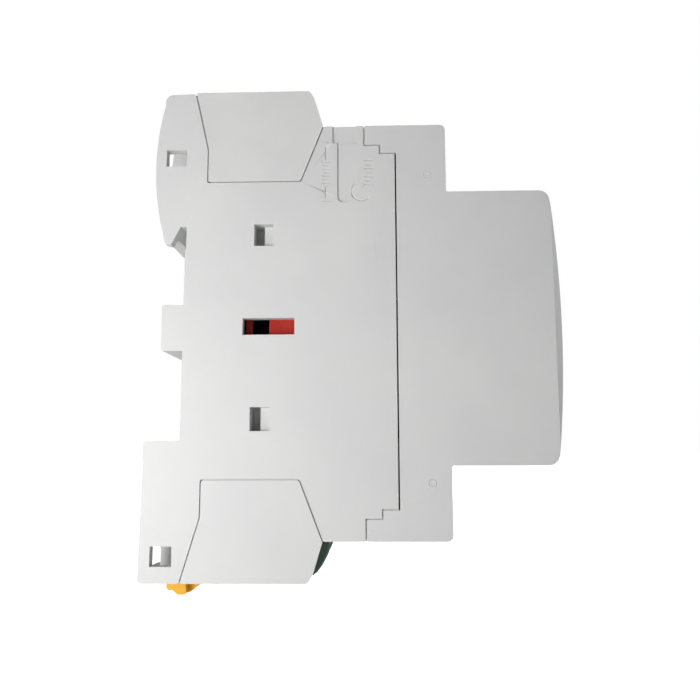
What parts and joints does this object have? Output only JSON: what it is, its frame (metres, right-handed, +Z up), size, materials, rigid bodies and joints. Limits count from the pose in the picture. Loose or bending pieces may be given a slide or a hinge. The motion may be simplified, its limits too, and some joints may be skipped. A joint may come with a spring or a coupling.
{
  "type": "residual current device",
  "caption": "Rail-mounted residual current device: stepped grey housing, rocking toggle, test button, sliding rail clip and caged screw terminals.",
  "frame": {"origin": "on the rail seating plane, midway across the width and level with the middle of the 45 mm nose", "axes": "+Y points back out of the rail side, so the toggle faces -Y; +Z is up, from the load terminals to the supply terminals; +X is to the right seen from the front"},
  "size_m": [0.0356, 0.0682, 0.0849],
  "materials": {
    "housing_plastic": "fine moulded texture, satin",
    "clip_plastic": "smooth acetal, semi-gloss",
    "shield_plastic": "ribbed moulded plastic",
    "lever_plastic": "satin black moulding",
    "trip_plastic": "smooth red moulding",
    "carrier_plastic": "glass-filled black moulding",
    "insulating_plastic": "white moulding",
    "label_film": "printed film with blank fields",
    "flag_plastic": "two-colour drum, green and red",
    "window_clear": "clear polycarbonate",
    "button_plastic": "smooth yellow moulding",
    "copper_bar": "bare copper, light tarnish",
    "tinned_brass": "stamped, nickel tint",
    "steel": "zinc plated",
    "spring_steel": "drawn wire",
    "enamelled_wire": "enamelled copper wire",
    "core_case": "moulded core case",
    "insulation_blue": "wire insulation",
    "insulation_black": "wire insulation",
    "resistor_body": "lacquered ceramic"
  },
  "bodies": {
    "housing": {"base_housing": "housing_plastic", "front_cover": "housing_plastic", "upper_terminal_block": "housing_plastic", "lower_terminal_block": "housing_plastic", "upper_terminal_shield": "shield_plastic", "lower_terminal_shield": "shield_plastic", "rating_label_plate": "label_film", "status_window": "window_clear", "pole_barrier": "insulating_plastic", "toggle_axle": "steel", "toggle_spring": "spring_steel", "mechanism_frame": "steel", "carrier_axle": "steel", "fixed_contact_line": "copper_bar", "fixed_contact_neutral": "copper_bar", "load_busbar_line": "copper_bar", "load_busbar_neutral": "copper_bar", "line_conductor": "insulation_black", "neutral_conductor": "insulation_blue", "toroid_core": "core_case", "toroid_winding": "enamelled_wire", "trip_lever_pin": "steel", "relay_case": "insulating_plastic", "relay_coil": "enamelled_wire", "test_button_spring": "spring_steel", "test_contact_leaf": "tinned_brass", "test_resistor": "resistor_body"},
    "toggle": {"toggle_handle": "lever_plastic"},
    "link": {"toggle_link": "steel"},
    "flag": {"status_flag": "flag_plastic"},
    "contacts": {"contact_carrier": "carrier_plastic", "moving_contact_line": "copper_bar", "moving_contact_neutral": "copper_bar", "contact_spring_line": "spring_steel", "contact_spring_neutral": "spring_steel"},
    "trip": {"trip_lever": "trip_plastic"},
    "plunger": {"relay_plunger": "steel"},
    "button": {"test_button": "button_plastic"},
    "clip": {"rail_clip": "clip_plastic"},
    "screw_supply_line": {"terminal_screw_supply_line": "steel"},
    "cage_supply_line": {"terminal_cage_supply_line": "tinned_brass"},
    "screw_supply_neutral": {"terminal_screw_supply_neutral": "steel"},
    "cage_supply_neutral": {"terminal_cage_supply_neutral": "tinned_brass"},
    "screw_load_line": {"terminal_screw_load_line": "steel"},
    "cage_load_line": {"terminal_cage_load_line": "tinned_brass"},
    "screw_load_neutral": {"terminal_screw_load_neutral": "steel"},
    "cage_load_neutral": {"terminal_cage_load_neutral": "tinned_brass"}
  },
  "joints": [
    {"name": "toggle_turn", "type": "hinge", "parent": "housing", "child": "toggle", "pos_m": [-0.008, -0.05, 0], "axis": [-1, 0, 0], "range_deg": [0, 76]},
    {"name": "link_turn", "type": "hinge", "parent": "toggle", "child": "link", "pos_m": [-0.0056, -0.04606, 0.00308], "axis": [1, 0, 0], "range_deg": [0, 76.5]},
    {"name": "flag_turn", "type": "hinge", "parent": "housing", "child": "flag", "pos_m": [0.0083, -0.05, 0], "axis": [-1, 0, 0], "range_deg": [0, 76.5]},
    {"name": "contact_turn", "type": "hinge", "parent": "housing", "child": "contacts", "pos_m": [0, -0.0255, 0.002], "axis": [1, 0, 0], "range_deg": [0, 27.5]},
    {"name": "trip_turn", "type": "hinge", "parent": "housing", "child": "trip", "pos_m": [0, -0.013, 0.009], "axis": [1, 0, 0], "range_deg": [0, 14.1]},
    {"name": "plunger_slide", "type": "slide", "parent": "housing", "child": "plunger", "axis": [0, 0, 1], "range_m": [0, 0.0015], "stiffness_N_per_m": 80, "springref_m": -0.0006},
    {"name": "button_press", "type": "slide", "parent": "housing", "child": "button", "axis": [0, 1, 0], "range_m": [0, 0.0014], "stiffness_N_per_m": 450, "springref_m": -0.001, "deforming": ["test_button_spring"]},
    {"name": "clip_slide", "type": "slide", "parent": "housing", "child": "clip", "axis": [0, 0, 1], "range_m": [0, 0.0032]},
    {"name": "screw_turn_supply_line", "type": "hinge", "parent": "housing", "child": "screw_supply_line", "pos_m": [-0.0083, -0.0125, 0.0366], "axis": [0, 1, 0], "range_deg": [0, 1625]},
    {"name": "cage_slide_supply_line", "type": "slide", "parent": "housing", "child": "cage_supply_line", "axis": [0, -1, 0], "range_m": [0, 0.0036]},
    {"name": "screw_turn_supply_neutral", "type": "hinge", "parent": "housing", "child": "screw_supply_neutral", "pos_m": [0.0083, -0.0125, 0.0366], "axis": [0, 1, 0], "range_deg": [0, 1625]},
    {"name": "cage_slide_supply_neutral", "type": "slide", "parent": "housing", "child": "cage_supply_neutral", "axis": [0, -1, 0], "range_m": [0, 0.0036]},
    {"name": "screw_turn_load_line", "type": "hinge", "parent": "housing", "child": "screw_load_line", "pos_m": [-0.0083, -0.0125, -0.0366], "axis": [0, 1, 0], "range_deg": [0, 1625]},
    {"name": "cage_slide_load_line", "type": "slide", "parent": "housing", "child": "cage_load_line", "axis": [0, -1, 0], "range_m": [0, 0.0036]},
    {"name": "screw_turn_load_neutral", "type": "hinge", "parent": "housing", "child": "screw_load_neutral", "pos_m": [0.0083, -0.0125, -0.0366], "axis": [0, 1, 0], "range_deg": [0, 1625]},
    {"name": "cage_slide_load_neutral", "type": "slide", "parent": "housing", "child": "cage_load_neutral", "axis": [0, -1, 0], "range_m": [0, 0.0036]}
  ],
  "couplings": [
    {"joint": "link_turn", "follows": "toggle_turn", "ratio": 1},
    {"joint": "flag_turn", "follows": "toggle_turn", "ratio": 1},
    {"joint": "contact_turn", "follows": "toggle_turn", "ratio": 0.36053},
    {"joint": "trip_turn", "follows": "plunger_slide", "rad_per_m": 162.9},
    {"joint": "screw_turn_supply_line", "follows": "cage_slide_supply_line", "rad_per_m": 7854},
    {"joint": "screw_turn_supply_neutral", "follows": "cage_slide_supply_neutral", "rad_per_m": 7854},
    {"joint": "screw_turn_load_line", "follows": "cage_slide_load_line", "rad_per_m": 7854},
    {"joint": "screw_turn_load_neutral", "follows": "cage_slide_load_neutral", "rad_per_m": 7854}
  ]
}
